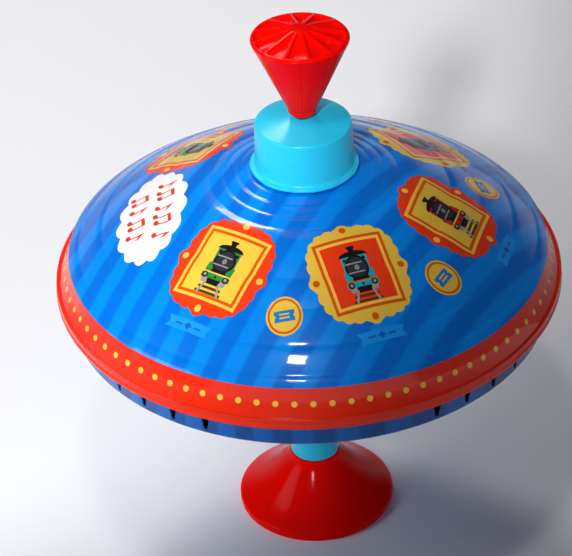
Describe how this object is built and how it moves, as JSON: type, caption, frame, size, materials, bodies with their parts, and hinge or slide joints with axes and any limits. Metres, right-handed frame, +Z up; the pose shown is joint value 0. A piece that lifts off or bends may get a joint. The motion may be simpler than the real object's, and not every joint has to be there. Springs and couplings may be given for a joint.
{
  "type": "spinning top",
  "caption": "Pump-action tinplate humming top: a red handle on a twisted steel strip spins the printed blue body on its round foot.",
  "frame": {"origin": "on the floor under the middle of the round foot, with the top standing and the handle down", "axes": "+Z up along the spin axis, -Y towards the front of the print, +X to the right seen from the front"},
  "size_m": [0.19, 0.19, 0.2139],
  "materials": {
    "printed_tin": "gloss",
    "blue_tin": "gloss",
    "sky_plastic": "gloss",
    "red_plastic": "gloss",
    "bare_tin": "satin",
    "steel": "satin",
    "brass": "satin",
    "nylon": "matte"
  },
  "bodies": {
    "foot": {"foot": "red_plastic", "pivot_pin": "steel", "bearing_ball": "steel", "retaining_clip": "steel"},
    "body": {"upper_shell": "printed_tin", "lower_shell": "blue_tin", "stem": "sky_plastic", "stem_lock_ring": "steel", "stem_bush": "nylon", "pivot_socket": "nylon", "centre_tube": "bare_tin", "top_cap": "sky_plastic", "cap_lock_ring": "steel", "clutch_housing": "nylon", "clutch_seat": "brass", "guide_washer": "steel", "reed_plate": "bare_tin", "reed_1": "brass", "reed_2": "brass", "reed_3": "brass", "reed_4": "brass", "reed_5": "brass", "reed_6": "brass", "reed_rivet_1": "steel", "reed_rivet_2": "steel", "reed_rivet_3": "steel", "reed_rivet_4": "steel", "reed_rivet_5": "steel", "reed_rivet_6": "steel"},
    "plunger": {"handle": "red_plastic", "spindle": "steel", "spindle_stop": "steel"},
    "clutch": {"drive_disc": "steel"}
  },
  "joints": [
    {"name": "body_spin", "type": "hinge", "parent": "foot", "child": "body", "pos_m": [0, 0, 0.0488], "axis": [0, 0, 1], "continuous": true},
    {"name": "pump_slide", "type": "slide", "parent": "body", "child": "plunger", "axis": [0, 0, 1], "range_m": [0, 0.085]},
    {"name": "clutch_turn", "type": "hinge", "parent": "body", "child": "clutch", "pos_m": [0, 0, 0.1577], "axis": [0, 0, 1], "range_deg": [-810, 45]}
  ],
  "couplings": [
    {"joint": "clutch_turn", "follows": "pump_slide", "rad_per_m": -157.08}
  ]
}
